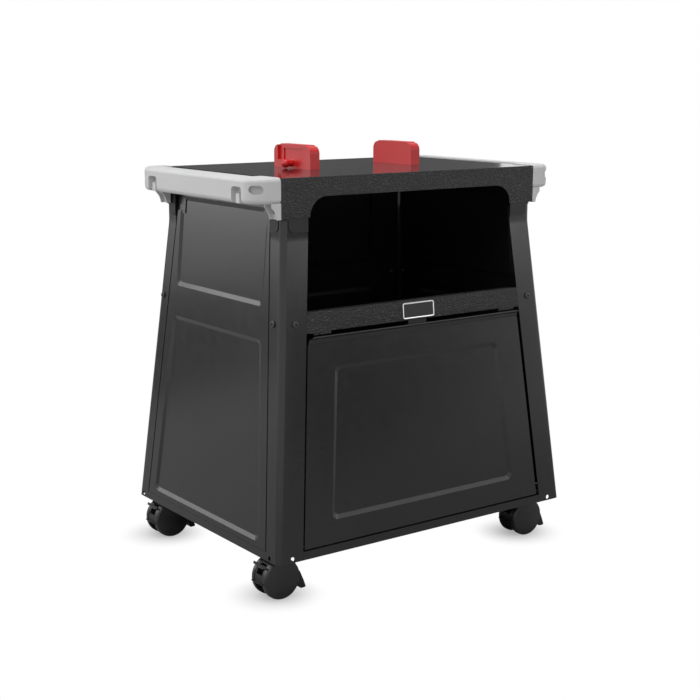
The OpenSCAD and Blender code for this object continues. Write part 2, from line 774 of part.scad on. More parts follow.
// The strip across the front at the window's sill, with its badge plate
module ledge_strip() {
    top_h = ledge_low_h + ledge_h;
    top_edge = front_open(top_h) - lap_gap;
    low_edge = front_open(ledge_low_h) - lap_gap;
    notch_v = up_front(ledge_low_h + notch_h);
    color("#3b3c3e") on_front_wall() difference() {
        union() {
            plate(front_quad(ledge_low_h, top_h, lap_gap), panel_t);
            wall_lips(low_edge, top_edge, -low_edge, -top_edge,
                up_front(ledge_low_h), up_front(top_h), front_flange_w, front_flange_w, lap_gap);
            translate([-top_edge, up_front(top_h) - panel_t, -ledge_fold])
                cube([2 * top_edge, panel_t, ledge_fold]);
            translate([-notch_w / 2, notch_v, -ledge_fold])
                cube([notch_w, panel_t, ledge_fold]);
        }
        translate([-notch_w / 2, notch_v - 2 * notch_h, -cut_deep])
            cube([notch_w, 2 * notch_h, 2 * cut_deep]);
        for (s = [0, 1]) mirror([s, 0, 0])
            translate([low_edge - end_slot_w, up_front(ledge_low_h) - cut, -cut_deep])
            cube([end_slot_w, end_slot_h + cut, 2 * cut_deep]);
        for (s = [-1, 1]) translate([s * ledge_screw_x, up_front(ledge_screw_h), 0])
            screw_hole(screw_d);
    }
}
module badge_plate() {
    low_v = up_front(ledge_low_h + notch_h + (ledge_h - notch_h - badge_h) * 0.37);
    outline = [[-badge_w / 2, low_v], [badge_w / 2, low_v],
        [badge_w / 2, low_v + badge_h], [-badge_w / 2, low_v + badge_h]];
    color("#17181a") on_front_wall() plate(rounded(outline, badge_r), badge_t, badge_t);
}

// The door: a pressed sheet with side folds, a pull along its top and hinge barrels
pull_turn = acos(1 - (pull_out + door_inset) / pull_r);
pull_v = up_front(door_top_h) - pull_edge_d / 2 - (pull_r + panel_t / 2) * sin(pull_turn);
pull_start_h = pull_v * cos(front_lean);
function pull_point(r, a) = [pull_v + r * sin(a), pull_r - door_inset - r * cos(a)];
module door_pull(half) {
    turns = [0 : pull_turn / 8 : pull_turn + 0.01];
    top_v = up_front(door_top_h);
    intersection() {
        translate([-half, 0, 0]) rotate([90, 0, 90]) linear_extrude(2 * half) {
            polygon(concat([[pull_v - 1, -door_inset]], [for (a = turns) pull_point(pull_r, a)],
                [for (a = turns) pull_point(pull_r + panel_t, pull_turn - a)],
                [[pull_v - 1, -door_inset - panel_t]]));
            translate(pull_point(pull_r + panel_t / 2, pull_turn)) circle(d = pull_edge_d, $fn = 20);
        }
        translate([0, 0, -cut_deep]) linear_extrude(2 * cut_deep)
            polygon(rounded([[-half, 0], [half, 0], [half, top_v], [-half, top_v]], pull_corner_r));
    }
}
module door_panel() {
    face_w = -door_inset;
    low_v = up_front(door_low_h);
    edge = function (h) front_open(h) - door_gap;
    top_half = edge(pull_start_h);
    low_half = edge(door_low_h);
    field_half = edge(door_field_low_h) - door_border;
    field = [[-field_half, up_front(door_field_low_h)], [field_half, up_front(door_field_low_h)],
        [door_field_w / 2, up_front(door_field_top_h)],
        [-door_field_w / 2, up_front(door_field_top_h)]];
    barrel_r = hinge_in - door_inset;
    color("#2d2e30") on_front_wall() difference() {
        union() {
            pressed_sheet(front_quad(door_low_h, pull_start_h, door_gap), [field], panel_t, face_w);
            for (s = [-1, 1]) plate([[s * (low_half - panel_t), low_v], [s * low_half, low_v],
                [s * top_half, pull_v], [s * (top_half - panel_t), pull_v]],
                door_fold, face_w);
            door_pull(edge(door_top_h));
            for (s = [0, 1]) mirror([s, 0, 0])
                translate([low_half - barrel_l, pivot_v, -hinge_in]) rotate([0, 90, 0])
                cylinder(r = barrel_r, h = barrel_l - panel_t / 2);
        }
        translate([-foot_w / 2, pivot_v, -hinge_in]) rotate([0, 90, 0])
            cylinder(d = hinge_pin_d + 2 * run_play, h = foot_w);
    }
}
module door_stiffener() {
    back_w = -door_inset - panel_t;
    low_v = up_front(door_field_top_h) + stiffener_gap;
    color("#26272a") on_front_wall() translate([-stiffener_l / 2, low_v, back_w - stiffener_d]) difference() {
        cube([stiffener_l, stiffener_h, stiffener_d]);
        translate([-cut, panel_t, panel_t])
            cube([stiffener_l + 2 * cut, stiffener_h - 2 * panel_t, stiffener_d]);
    }
}
hinge_ear_x = front_open(hinge_h) + 1;
module door_hinge_pins() {
    low_half = front_open(door_low_h) - door_gap;
    color("#202022") on_front_wall() for (s = [0, 1]) mirror([s, 0, 0]) {
        translate([low_half - barrel_l + 1, pivot_v, -hinge_in]) rotate([0, 90, 0])
            cylinder(d = hinge_pin_d, h = hinge_ear_x + pan_t - low_half + barrel_l);
        translate([hinge_ear_x + pan_t, pivot_v, -hinge_in]) rotate([0, 90, 0])
            cylinder(d = hinge_pin_d * 1.5, h = 1.5);
    }
}
// A magnetic catch that hangs from the ledge and meets the door's back
module door_catch() {
    top_v = up_front(ledge_low_h + notch_h);
    face_w = -door_inset - panel_t - lap_gap;
    color("#1d1d1e") on_front_wall() translate([-catch_w / 2, top_v - catch_h, face_w - catch_d])
        cube([catch_w, catch_h, catch_d]);
}

// The pan that closes the cabinet's floor, ties the legs and carries the casters
module base_pan() {
    low_z = foot_z + pan_drop;
    fit_x = half_w(pan_top_h) - leg_t - lap_gap;
    fit_y = half_d(pan_top_h) - leg_t - lap_gap;
    open_x = front_open(pan_top_h) - lap_gap;
    open_rear = side_open_rear(pan_top_h) - lap_gap;
    open_front = side_open_front(pan_top_h) - lap_gap;
    corner = leg_corner_r;
    skirt_v = up_front(pan_top_h);
    ear_w_in = leg_t + lap_gap;
    color("#2a2b2d") difference() {
        union() {
            translate([0, 0, low_z]) linear_extrude(pan_t) {
                square([2 * fit_x, 2 * (fit_y - corner)], center = true);
                square([2 * (fit_x - corner), 2 * fit_y], center = true);
                for (sx = [-1, 1]) for (sy = [-1, 1])
                    translate([sx * (fit_x - corner), sy * (fit_y - corner)]) circle(corner);
                square([2 * open_x, 2 * half_d(pan_drop) - pan_t], center = true);
                translate([pan_t / 2 - half_w(pan_drop), -open_front])
                    square([2 * half_w(pan_drop) - pan_t, open_front + open_rear]);
            }
            on_front_wall() plate(front_quad(0, pan_top_h, lap_gap), pan_t);
            on_rear_wall() plate(front_quad(0, pan_top_h, lap_gap), pan_t);
            for (s = [0, 1]) mirror([s, 0, 0])
                on_left_wall() plate(side_quad(0, pan_top_h, lap_gap), pan_t);
            on_front_wall() for (s = [0, 1]) mirror([s, 0, 0])
                translate([hinge_ear_x, skirt_v - pan_t, -ear_w_in - 9])
                    cube([pan_t, pivot_v + 6 - skirt_v + pan_t, 9]);
        }
        on_front_wall() translate([-foot_w / 2, pivot_v, -hinge_in]) rotate([0, 90, 0])
            cylinder(d = hinge_pin_d + 2 * run_play, h = foot_w);
        casters() plate_screws() screw_hole(small_screw_d);
    }
}

// The left locator and its lock knob; the right ones are mirror images
module locator() {
    inner_x = -locator_span / 2;
    outer_x = inner_x - locator_t;
    bolt_y = locator_l * 0.32;
    color(red_plastic) translate([0, locator_y, worktop_z]) difference() {
        translate([outer_x, 0, 0]) rotate([90, 0, 90]) linear_extrude(locator_t) {
            arch(locator_l, locator_h - 2, locator_r);
            arch(locator_l - 30, locator_h, 3);
        }
        translate([outer_x - cut, locator_l * 0.26, locator_foot_h + 2])
            cube([5 + cut, 17, locator_h]);
        translate([outer_x - cut, -locator_l * 0.34, locator_foot_h + 2])
            cube([2 + cut, locator_l * 0.56, locator_h * 0.5]);
        translate([outer_x - cut, 0, lock_h]) rotate([0, 90, 0])
            cylinder(d = lock_pin_d + 2 * run_play, h = cut + locator_t - lock_wall);
        for (s = [-1, 1]) translate([-locator_x, s * bolt_y, -cut])
            cylinder(d = small_screw_d + 2 * screw_play, h = 14 + cut);
    }
}
module left_locator() {
    locator();
}
module right_locator() {
    mirror([1, 0, 0]) locator();
}
module lock_knob() {
    collar_x = -locator_span / 2 - locator_t - lap_gap - collar_l;
    ball_x = collar_x - knob_d * 0.4;
    tip_x = -locator_span / 2 - lock_wall - cut;
    color(red_plastic) translate([0, locator_y, lock_z]) rotate([0, 90, 0]) rotate_extrude() {
        intersection() {
            translate([0, ball_x]) circle(d = knob_d);
            translate([0, ball_x - knob_d]) square(2 * knob_d);
        }
        translate([0, collar_x]) square([knob_d * 0.375, collar_l]);
        translate([0, collar_x]) square([lock_pin_d / 2, tip_x - collar_x]);
    }
}
module left_lock_knob() {
    lock_knob();
}
module right_lock_knob() {
    mirror([1, 0, 0]) lock_knob();
}

// Fasteners, each group in one node
module ledge_screws() {
    color("#202022") {
        for (s = [0, 1]) mirror([0, s, 0]) on_front_wall() for (t = [-1, 1])
            translate([t * ledge_screw_x, up_front(ledge_screw_h), 0])
            pan_screw(screw_d, screw_head_d, screw_head_h, 9);
        for (s = [0, 1]) mirror([s, 0, 0]) on_left_wall()
            for (u = [side_screw_front, -side_screw_rear])
            translate([u, up_side(ledge_screw_h), 0])
            pan_screw(screw_d, screw_head_d, screw_head_h, 9);
    }
}
module rail_screws() {
    color("#202022") for (sx = [0, 1]) mirror([sx, 0, 0]) for (s = [-1, 1])
        translate([rail_in + ear_t, s * (neck_d / 2 - rail_screw_in), rail_screw_z])
        rotate([0, 90, 0]) pan_screw(small_screw_d, small_head_d, small_head_h, 12);
}
module locator_screws() {
    color("#202022") locator_bolts() translate([0, 0, -top_t - brace_h]) rotate([180, 0, 0])
        pan_screw(small_screw_d, small_head_d, small_head_h, top_t + brace_h + 12);
}
module caster_screws() {
    color("#202022") casters() plate_screws() translate([0, 0, pan_t])
        pan_screw(small_screw_d, small_head_d, small_head_h, pan_t + plate_t + 4);
}

// Casters: each piece is modelled about a swivel axis at the origin, trailing towards -X
caster_places = [[-caster_x, -caster_y], [caster_x, -caster_y],
    [-rear_x, rear_y], [rear_x, rear_y]];
module casters() {
    for (p = caster_places) translate([p.x, p.y, 0]) children();
}
module plate_screws() {
    for (sx = [-1, 1]) for (sy = [-1, 1])
        translate([sx * plate_pitch / 2, sy * plate_pitch / 2, caster_h]) children();
}
wheel_r = wheel_d / 2;
neck_top_z = caster_h - plate_t - race_h;
stem_low_z = wheel_r * 1.24;
module caster_mount() {
    color("silver") {
        difference() {
            translate([-plate_w / 2, -plate_w / 2, caster_h - plate_t])
                cube([plate_w, plate_w, plate_t]);
            plate_screws() screw_hole(small_screw_d);
        }
        translate([0, 0, neck_top_z + lap_gap]) cylinder(r = race_r, h = race_h);
        translate([0, 0, stem_low_z + cut]) cylinder(d = stem_d, h = neck_top_z - stem_low_z);
    }
}
module caster_housing() {
    hood_r = wheel_r - cut;
    slot_w = pedal_arm_w + cut;
    crown_z = wheel_d + 1.5 * cut;
    color("#2a2a2c") difference() {
        union() {
            translate([-trail, 0, wheel_r]) rotate([90, 0, 0]) linear_extrude(housing_w, center = true) {
                intersection() {
                    circle(hood_r);
                    translate([-hood_r, -hood_r * 0.14]) square(2 * hood_r);
                }
                circle(axle_d * 1.5);
                polygon(hood_r * [[0.5, 0.5], [1.2, 0.1], [1.42, -0.4], [1.55, -0.76], [1.5, -0.82],
                    [1.26, -0.82], [1.05, -0.45], [0.4, 0]]);
            }
            translate([-trail, 0, wheel_r]) rotate([0, -lip_angle, 0]) {
                translate([hood_r - 3, 1 - housing_w / 2, -0.9]) cube([5.4 + cut, housing_w - 2, 1.8]);
                translate([wheel_r + 0.9, -pedal_w / 2, -0.9]) cube([1.5, pedal_w, 1.8]);
            }
            translate([0, 0, wheel_r * 1.3])
                cylinder(d = housing_w + wheel_gap, h = neck_top_z - wheel_r * 1.3);
            translate([0, 0, crown_z]) cylinder(r = race_r - cut, h = neck_top_z - crown_z);
        }
        translate([0, 0, stem_low_z]) cylinder(d = stem_d + 2 * run_play, h = caster_h);
        translate([-trail, 0, wheel_r]) rotate([90, 0, 0])
            cylinder(d = axle_d + 2 * run_play, h = 2 * housing_w, center = true);
        translate([-trail, 0, wheel_r]) rotate([0, -pedal_angle, 0])
            translate([pedal_pivot_r - 1.5 * pedal_pin_d, -slot_w / 2, -2 * pedal_pin_d])
            cube([wheel_r, slot_w, 5.4 * pedal_pin_d]);
        pedal_axis() cylinder(d = pedal_pin_d + 2 * run_play, h = 2 * housing_w, center = true);
    }
}
// A narrow lip on the housing stands behind the wheels, below the pedal
lip_angle = 187;
// The brake pedal turns on a pin across the housing, up and behind the wheels
pedal_angle = 142;
module pedal_axis() {
    translate([pedal_pivot_r * cos(pedal_angle) - trail, 0, wheel_r + pedal_pivot_r * sin(pedal_angle)])
        rotate([90, 0, 0]) children();
}
module caster_pedal() {
    arm_h = pedal_pin_d * 1.5;
    root_r = wheel_r + 1.2 * cut;
    tip_r = root_r + pedal_l;
    curl = pedal_t * 0.9;
    color("#1c1c1d") {
        translate([-trail, 0, wheel_r]) rotate([0, -pedal_angle, 0]) {
            translate([pedal_pivot_r - arm_h / 2, -pedal_arm_w / 2, -arm_h / 2])
                cube([root_r + cut - pedal_pivot_r + arm_h / 2, pedal_arm_w, arm_h]);
            rotate([90, 0, 0]) linear_extrude(pedal_w, center = true)
                polygon([[root_r, pedal_t / 2], [root_r, -pedal_t / 2], [root_r + pedal_l * 0.5, -pedal_t / 2],
                    [tip_r - pedal_t * 0.55, -pedal_t / 2 - curl], [tip_r, -pedal_t / 2 - curl * 0.5],
                    [root_r + pedal_l * 0.75, pedal_t / 2]]);
        }
        pedal_axis() cylinder(d = pedal_pin_d, h = housing_w - cut, center = true);
    }
}
axle_l = caster_w * 0.73;
module caster_axle() {
    color("silver") translate([-trail, 0, wheel_r]) rotate([90, 0, 0])
        cylinder(d = axle_d, h = axle_l, center = true);
}
module caster_wheel() {
    inner = housing_w / 2 + wheel_gap;
    face = caster_w / 2;
    edge_r = wheel_r * 0.14;
    dome = wheel_r * 0.08;
    dome_r = (pow(wheel_r - edge_r, 2) + dome * dome) / (2 * dome);
    color("#29292b") translate([-trail, 0, wheel_r]) rotate([90, 0, 0]) rotate_extrude() difference() {
        union() {
            translate([0, inner]) square([wheel_r - edge_r, face - dome - inner]);
            translate([0, inner]) square([wheel_r, face - dome - edge_r - inner]);
            translate([wheel_r - edge_r, face - dome - edge_r]) intersection() {
                circle(edge_r);
                square(edge_r);
            }
            intersection() {
                translate([0, face - dome_r]) circle(dome_r, $fn = 180);
                translate([0, inner]) square([wheel_r - edge_r, face]);
            }
        }
        translate([0, inner - cut])
            square([axle_d / 2 + run_play, axle_l / 2 + wheel_gap - inner + cut]);
        translate([wheel_r * 0.37, inner - cut]) square([wheel_r * 0.47, housing_w * 0.3 + cut]);
    }
}
module caster(i, piece) {
    translate([caster_places[i].x, caster_places[i].y, 0]) {
        if (piece == "mount") caster_mount();
        if (piece == "housing") caster_housing();
        if (piece == "pedal") caster_pedal();
        if (piece == "axle") caster_axle();
        if (piece == "front_wheel") caster_wheel();
        if (piece == "rear_wheel") mirror([0, 1, 0]) caster_wheel();
    }
}

CORNERS = ["front_left", "front_right", "rear_left", "rear_right"];
PIECES = ["mount", "housing", "pedal", "axle", "front_wheel", "rear_wheel"];

top_panel();
top_braces();
front_fascia();
rear_fascia();
left_side_rail();
right_side_rail();
front_left_leg();
front_right_leg();
rear_left_leg();
rear_right_leg();
front_left_bracket();
front_right_bracket();
rear_left_bracket();
rear_right_bracket();
left_side_panel();
right_side_panel();
back_panel();
ledge_strip();
badge_plate();
base_pan();
door_panel();
door_stiffener();
door_hinge_pins();
door_catch();
left_locator();
right_locator();
left_lock_knob();
right_lock_knob();
ledge_screws();
rail_screws();
locator_screws();
caster_screws();
for (i = [0 : 3]) for (p = PIECES)
    caster(i, p);
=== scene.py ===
# Grill stand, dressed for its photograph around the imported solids. Metres; X right,
# Y back, Z up from the floor. Each section holds one piece or one group of like pieces.
import json
from math import pi, radians

import bmesh
import bpy
from mathutils import Matrix, Vector

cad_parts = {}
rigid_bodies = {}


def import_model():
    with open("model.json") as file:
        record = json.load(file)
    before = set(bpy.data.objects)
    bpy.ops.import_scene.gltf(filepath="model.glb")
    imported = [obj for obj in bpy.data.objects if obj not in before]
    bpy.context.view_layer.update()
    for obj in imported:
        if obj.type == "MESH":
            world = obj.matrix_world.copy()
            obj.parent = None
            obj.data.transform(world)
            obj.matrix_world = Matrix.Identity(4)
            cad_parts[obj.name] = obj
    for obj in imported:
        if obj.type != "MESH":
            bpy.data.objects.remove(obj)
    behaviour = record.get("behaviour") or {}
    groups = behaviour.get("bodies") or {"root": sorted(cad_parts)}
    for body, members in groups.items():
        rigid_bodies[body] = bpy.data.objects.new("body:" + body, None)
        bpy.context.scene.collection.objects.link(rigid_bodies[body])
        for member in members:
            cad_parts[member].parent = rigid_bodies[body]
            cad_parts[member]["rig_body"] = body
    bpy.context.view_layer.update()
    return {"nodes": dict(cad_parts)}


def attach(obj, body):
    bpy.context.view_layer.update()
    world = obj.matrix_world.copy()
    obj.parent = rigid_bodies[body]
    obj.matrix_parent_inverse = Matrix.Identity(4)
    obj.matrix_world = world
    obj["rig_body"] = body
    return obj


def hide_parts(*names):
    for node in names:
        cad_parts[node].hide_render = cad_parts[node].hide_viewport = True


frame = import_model()
cad_nodes = frame["nodes"]
scene = bpy.context.scene
scene.view_settings.view_transform = "Standard"


# Camera: a 69 mm lens, 2.7 m away and a hand's length above the worktop, 36 degrees
# round to the left of the door, as the photograph was taken.
aim = Vector((0, -0.0051, 0.3848))
distance = 2.7311
to_the_left, above, tilt = 36.0, 11.475, 0.066
turn = (Matrix.Rotation(radians(-to_the_left), 4, "Z")
        @ Matrix.Rotation(radians(90 - above), 4, "X")
        @ Matrix.Rotation(radians(tilt), 4, "Z"))
camera = bpy.data.objects.new("camera", bpy.data.cameras.new("camera"))
camera.data.lens = 69.25
camera.data.sensor_width = 36
camera.matrix_world = Matrix.Translation(aim + turn.to_3x3() @ Vector((0, 0, distance))) @ turn
scene.collection.objects.link(camera)
scene.camera = camera


# Floor: a plain studio floor, white to the camera but for a soft shadow round each
# caster, and white in mirrored rays from a good way off. Its finish is written as sums
# on wires, as every other one below is.
class Wire:
    """One output socket. Each sum on it adds a Math node."""

    def __init__(self, network, socket):
        self.network, self.socket = network, socket

    def math(self, operation, *values):
        return self.network.add("ShaderNodeMath", {"operation": operation}, *values)

    def __add__(self, other):
        return self.math("ADD", self, other)

    def __sub__(self, other):
        return self.math("SUBTRACT", self, other)

    def __rsub__(self, other):
        return self.math("SUBTRACT", other, self)

    def __mul__(self, other):
        return self.math("MULTIPLY", self, other)

    __radd__, __rmul__ = __add__, __mul__


class Network:
    """The nodes of a material or of the surround, and the one way to add to them."""

    def __init__(self, tree):
        self.tree = tree

    def feed(self, socket, value):
        if isinstance(value, Wire):
            self.tree.links.new(value.socket, socket)
        else:
            socket.default_value = value

    def add(self, kind, settings=None, *values, out=0, at=None, **named):
        """Adds a node: its settings first, then its sockets in order, those given by
        number in at, and those given by name, with _ for a space."""
        node = self.tree.nodes.new(kind)
        for setting, value in (settings or {}).items():
            setattr(node, setting, value)
        for place, value in (*enumerate(values), *(at or {}).items()):
            self.feed(node.inputs[place], value)
        for name, value in named.items():
            self.feed(node.inputs[name.replace("_", " ")], value)
        return Wire(self, node.outputs[out])

    def ray(self, kind):
        return self.add("ShaderNodeLightPath", out=f"Is {kind} Ray")


class Finish(Network):
    """One material, such as a coat or a moulded plastic."""

    def __init__(self, name, **constants):
        self.material = bpy.data.materials.new(name)
        self.material.use_nodes = True
        super().__init__(self.material.node_tree)
        self.surface = self.tree.nodes["Principled BSDF"]
        self.place = self.add("ShaderNodeTexCoord", out="Object")
        self.set(**constants)

    def set(self, **values):
        for name, value in values.items():
            self.feed(self.surface.inputs[name.replace("_", " ")], value)

    def noise(self, scale, detail=2.0, roughness=0.5, place=None, out=0):
        return self.add("ShaderNodeTexNoise", Vector=place or self.place, Scale=scale,
                        Detail=detail, Roughness=roughness, out=out)

    def vector(self, operation, *values, **named):
        return self.add("ShaderNodeVectorMath", {"operation": operation}, *values, **named)

    def ramp(self, value, low, high):
        return self.add("ShaderNodeMapRange", {"interpolation_type": "SMOOTHSTEP"},
                        value, low, high)

    def blend(self, amount, first, second):
        colours = {0: amount, 6: (*first, 1), 7: (*second, 1)}
        return self.add("ShaderNodeMix", {"data_type": "RGBA"}, at=colours, out=2)

    def bump(self, height, depth, strength):
        self.set(Normal=self.add("ShaderNodeBump", Height=height, Distance=depth,
                                 Strength=strength))

    def mottle(self, shades, patches, dull, spots):
        """Lets the colour drift between two shades in patches, and the roughness rise in
        spots from its least value by up to a second one."""
        self.set(Base_Color=self.blend(self.noise(*patches), *shades),
                 Roughness=dull[0] + dull[1] * self.noise(*spots))


shadow_white, shadow_radius = 0.35, 0.1
caster_place, caster_trail = (0.3, 0.21, 0), (0.018, 0, 0)
mirror_begins, mirror_full = 1.6, 3.6
floor_finish = Finish("studio_floor", Roughness=0.8, Specular_IOR_Level=0.0,
                      Base_Color=(0.55, 0.55, 0.55, 1))
seen = floor_finish.ray("Camera")
mirrored = floor_finish.ray("Glossy") + floor_finish.ray("Transmission")
reach = floor_finish.vector("LENGTH", floor_finish.place, out="Value")
spot = floor_finish.vector("ADD", floor_finish.place, caster_trail)
spot = floor_finish.vector("SUBTRACT", floor_finish.vector("ABSOLUTE", spot), caster_place)
near = floor_finish.vector("LENGTH", spot, out="Value")
shadow = shadow_white + (1 - shadow_white) * floor_finish.ramp(near, 0.0, shadow_radius)
white = shadow * seen + floor_finish.ramp(reach, mirror_begins, mirror_full) * mirrored
glow = floor_finish.add("ShaderNodeEmission", None, (1, 1, 1, 1), 1.0)
whole = floor_finish.add("ShaderNodeMixShader", None, white,
                         Wire(floor_finish, floor_finish.surface.outputs[0]), glow)
floor_finish.feed(floor_finish.tree.nodes["Material Output"].inputs[0], whole)
shell = bmesh.new()
bmesh.ops.create_circle(shell, cap_ends=True, radius=9, segments=64)
floor = bpy.data.objects.new("studio_floor", bpy.data.meshes.new("studio_floor"))
shell.to_mesh(floor.data)
floor.data.materials.append(floor_finish.material)
scene.collection.objects.link(floor)


# Light: a dim white surround that shows as full white, and four soft boxes: one
# overhead, one behind to the left, a small low one in front to the right, and one high
# in front to the left.
surround_strength = 0.42
middle = Vector((0, 0, 0.5))
world = bpy.data.worlds.new("studio")
world.use_nodes = True
scene.world = world
sky = Network(world.node_tree)
dim = sky.tree.nodes["Background"]
sky.feed(dim.inputs["Color"], (1, 1, 1, 1))
sky.feed(dim.inputs["Strength"], surround_strength)
backdrop = sky.add("ShaderNodeBackground", None, (1, 1, 1, 1), 1.0)
shown = sky.ray("Camera")
for kind in ("Glossy", "Transmission"):
    shown = shown.math("MAXIMUM", shown, sky.ray(kind))
choice = sky.add("ShaderNodeMixShader", None, shown, Wire(sky, dim.outputs[0]), backdrop)
sky.feed(sky.tree.nodes["World Output"].inputs[0], choice)
for name, place, size, power in (("top_box", (-0.4, -0.1, 3.0), 2.2, 34),
                                 ("left_box", (-2.0, 2.6, 1.75), 2.2, 32),
                                 ("right_box", (2.0, -2.7, 1.2), 1.1, 7),
                                 ("key_box", (-3.2, -1.6, 3.0), 1.4, 22)):
    lamp = bpy.data.objects.new(name, bpy.data.lights.new(name, "AREA"))
    lamp.data.size, lamp.data.energy = size, power
    lamp.location = place
    lamp.rotation_euler = (middle - lamp.location).to_track_quat("-Z", "Y").to_euler()
    scene.collection.objects.link(lamp)


# Flags: five grey cards, seen only in mirrored rays, that tone down what the worktop,
# the fascia, the side, the lower part of the front and the door's bevels mirror.
for name, place, width, height, shade in (
        ("back_flag", (2.2, 3.0, 1.05), 7.0, 1.3, 0.27),
        ("left_flag", (-1.85, 2.3, 0.2), 2.6, 0.4, 0.2),
        ("front_flag", (1.9, -2.6, 0.3), 3.6, 0.6, 0.12),
        ("high_flag", (2.3, -3.2, 4.1), 5.0, 3.0, 0.2),
        ("bevel_flag", (1.7, -1.95, 1.75), 2.4, 1.3, 0.05)):
    card = Finish(name + "_card", Roughness=0.9, Specular_IOR_Level=0.0,
                  Base_Color=(shade, shade, shade, 1))
    shell = bmesh.new()
    bmesh.ops.create_grid(shell, x_segments=1, y_segments=1, size=0.5,
                          matrix=Matrix.Rotation(pi / 2, 4, "X"))
    bmesh.ops.scale(shell, vec=(width, 1, height), verts=shell.verts)
    flag = bpy.data.objects.new(name, bpy.data.meshes.new(name))
    shell.to_mesh(flag.data)
    flag.data.materials.append(card.material)
    flag.location = place
    flag.rotation_euler = (0, 0, -Vector(place[:2]).angle_signed(Vector((0, 1))))
    flag.visible_camera = flag.visible_diffuse = flag.visible_shadow = False
    scene.collection.objects.link(flag)


# Legs: four corners of 1.5 mm sheet, folded to an angle with a rounded corner and bent
# upright under the worktop, coated dark grey. Black pan-head screws hold the panels,
# the rails, the locators and the casters.
flat_within, cut_edges, sharp_above = 0.15, (50, 181), 40   # degrees between two faces
weld, speck = 2e-6, 5e-6
corners = ("front_left", "front_right", "rear_left", "rear_right")
leg_bend = {"angles": (3, 12), "width": 0.005, "segments": 3, "heights": (0.62, 0.66)}


def round_off(shape, angles, width, segments, heights=(-1, 2)):
    """Rounds the edges whose two faces meet at between two angles, in degrees, and that
    lie between two heights."""
    low, high = radians(angles[0]), radians(angles[1])
    chosen = [e for e in shape.edges if len(e.link_faces) == 2
              and low < e.calc_face_angle(0) < high
              and all(heights[0] < v.co.z < heights[1] for v in e.verts)]
    bmesh.ops.bevel(shape, geom=chosen, offset=width, offset_type="OFFSET",
                    segments=segments, profile=0.5, affect="EDGES", material=-1,
                    clamp_overlap=True)


def dress(name, solid, look, edge=0.0004, fold=None):
    """Makes a piece from a CAD solid: joins its flat faces, rounds its fold and its cut
    edges, gives it its finish and lets it ride on the solid's body in its place."""
    shape = bmesh.new()
    shape.from_mesh(cad_nodes[solid].data)
    bmesh.ops.remove_doubles(shape, verts=shape.verts, dist=weld)
    bmesh.ops.dissolve_limit(shape, angle_limit=radians(flat_within), verts=shape.verts,
                             edges=shape.edges)
    if fold:
        round_off(shape, **fold)
    round_off(shape, cut_edges, width=edge, segments=2)
    bmesh.ops.dissolve_degenerate(shape, dist=speck, edges=shape.edges)
    for face in shape.faces:
        face.smooth = True
    mesh = bpy.data.meshes.new(name)
    shape.to_mesh(mesh)
    if "custom_normal" in mesh.attributes:
        mesh.attributes.remove(mesh.attributes["custom_normal"])
    mesh.set_sharp_from_angle(angle=radians(sharp_above))
    mesh.materials.append(look.material)
    piece = bpy.data.objects.new(name, mesh)
    scene.collection.objects.link(piece)
    even = piece.modifiers.new("even_normals", "WEIGHTED_NORMAL")
    even.keep_sharp = True
    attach(piece, cad_nodes[solid]["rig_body"])
    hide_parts(solid)
    return piece


satin_paint = Finish("satin_grey_coat", Specular_IOR_Level=0.5)
satin_paint.mottle(shades=((0.012, 0.012, 0.0125), (0.017, 0.017, 0.0178)),
                   patches=(14, 3), dull=(0.2, 0.08), spots=(45, 4))
satin_paint.bump(satin_paint.noise(850, 2), depth=0.00008, strength=0.25)
for corner in corners:
    dress(corner + "_corner_leg", corner + "_leg", satin_paint, fold=leg_bend)
# The screws' own black. The door's hinge pins take it too, where it is painted shade.
screw_and_gap_shade_black = Finish("black_screw_steel", Metallic=0.0, Base_Color=(0.028, 0.028, 0.03, 1))
screw_and_gap_shade_black.set(Roughness=0.28 + 0.12 * screw_and_gap_shade_black.noise(700, 2))
screw_and_gap_shade_black.bump(screw_and_gap_shade_black.noise(1800, 1), depth=0.00005, strength=0.3)
for held in ("ledge", "rail", "locator", "caster"):
    dress(held + "_pan_heads", held + "_screws", screw_and_gap_shade_black, edge=0.00035)


# Corner brackets: matt black angles of 1.2 mm sheet in the gap between each leg's top
# and the fascia, with a rounded tongue down each face.
bracket_paint = Finish("matt_black_coat", Specular_IOR_Level=0.4)
bracket_paint.mottle(shades=((0.006, 0.006, 0.0065), (0.011, 0.011, 0.012)),
                     patches=(60, 3), dull=(0.45, 0.1), spots=(90, 3))
bracket_paint.bump(bracket_paint.noise(1100, 2), depth=0.0001, strength=0.3)
for corner in corners:
    dress(corner + "_corner_wrap", corner + "_bracket", bracket_paint)


# Side and back panels: 1.2 mm sheet between the leg flanges, each with two pressed
# fields whose bevels are softly rounded. They have the legs' dark grey coat.
panel_fields = {"angles": (12, 50), "width": 0.0022, "segments": 3, "heights": (0.097, 0.71)}
for side in ("left_side", "right_side", "back"):
    dress(side + "_sheet", side + "_panel", satin_paint, fold=panel_fields)


# Base pan: the cabinet's floor, of 1.5 mm sheet with its skirts flush between the legs
# and the ears of the door's hinge, in the legs' dark grey coat.
dress("base_tray", "base_pan", satin_paint)


